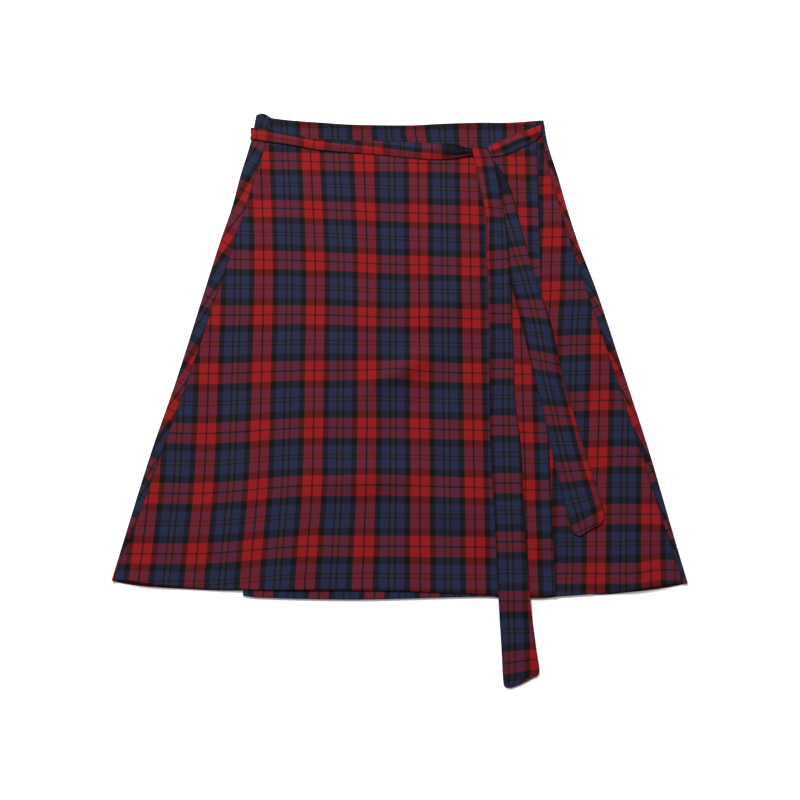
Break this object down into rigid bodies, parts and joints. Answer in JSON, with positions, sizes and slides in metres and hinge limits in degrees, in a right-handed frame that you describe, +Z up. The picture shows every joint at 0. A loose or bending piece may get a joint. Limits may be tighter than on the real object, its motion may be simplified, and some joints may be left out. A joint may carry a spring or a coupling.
{
  "type": "wrap skirt laid flat",
  "caption": "A-line tartan wrap skirt laid flat, front up, with crossed front panels and two long ties knotted at the waist.",
  "frame": {"origin": "on the surface the skirt lies on, under the middle of its overall box", "axes": "+X to the viewer's right, +Y from hem to waist, +Z up off the surface"},
  "size_m": [0.6776, 0.7341, 0.0113],
  "materials": {
    "back_cloth": "red and navy tartan twill, inside and side strips",
    "underwrap_cloth": "red and navy tartan twill",
    "overwrap_cloth": "red and navy tartan twill",
    "tie_cloth": "red and navy tartan twill, sewn as a flat tube"
  },
  "bodies": {
    "root": {"back_panel": "back_cloth", "underwrap_panel": "underwrap_cloth", "overwrap_panel": "overwrap_cloth", "tie_left_stretch": "tie_cloth", "tie_right_stretch": "tie_cloth", "tie_knot": "tie_cloth", "tie_short_end": "tie_cloth", "tie_long_end": "tie_cloth"}
  },
  "joints": []
}
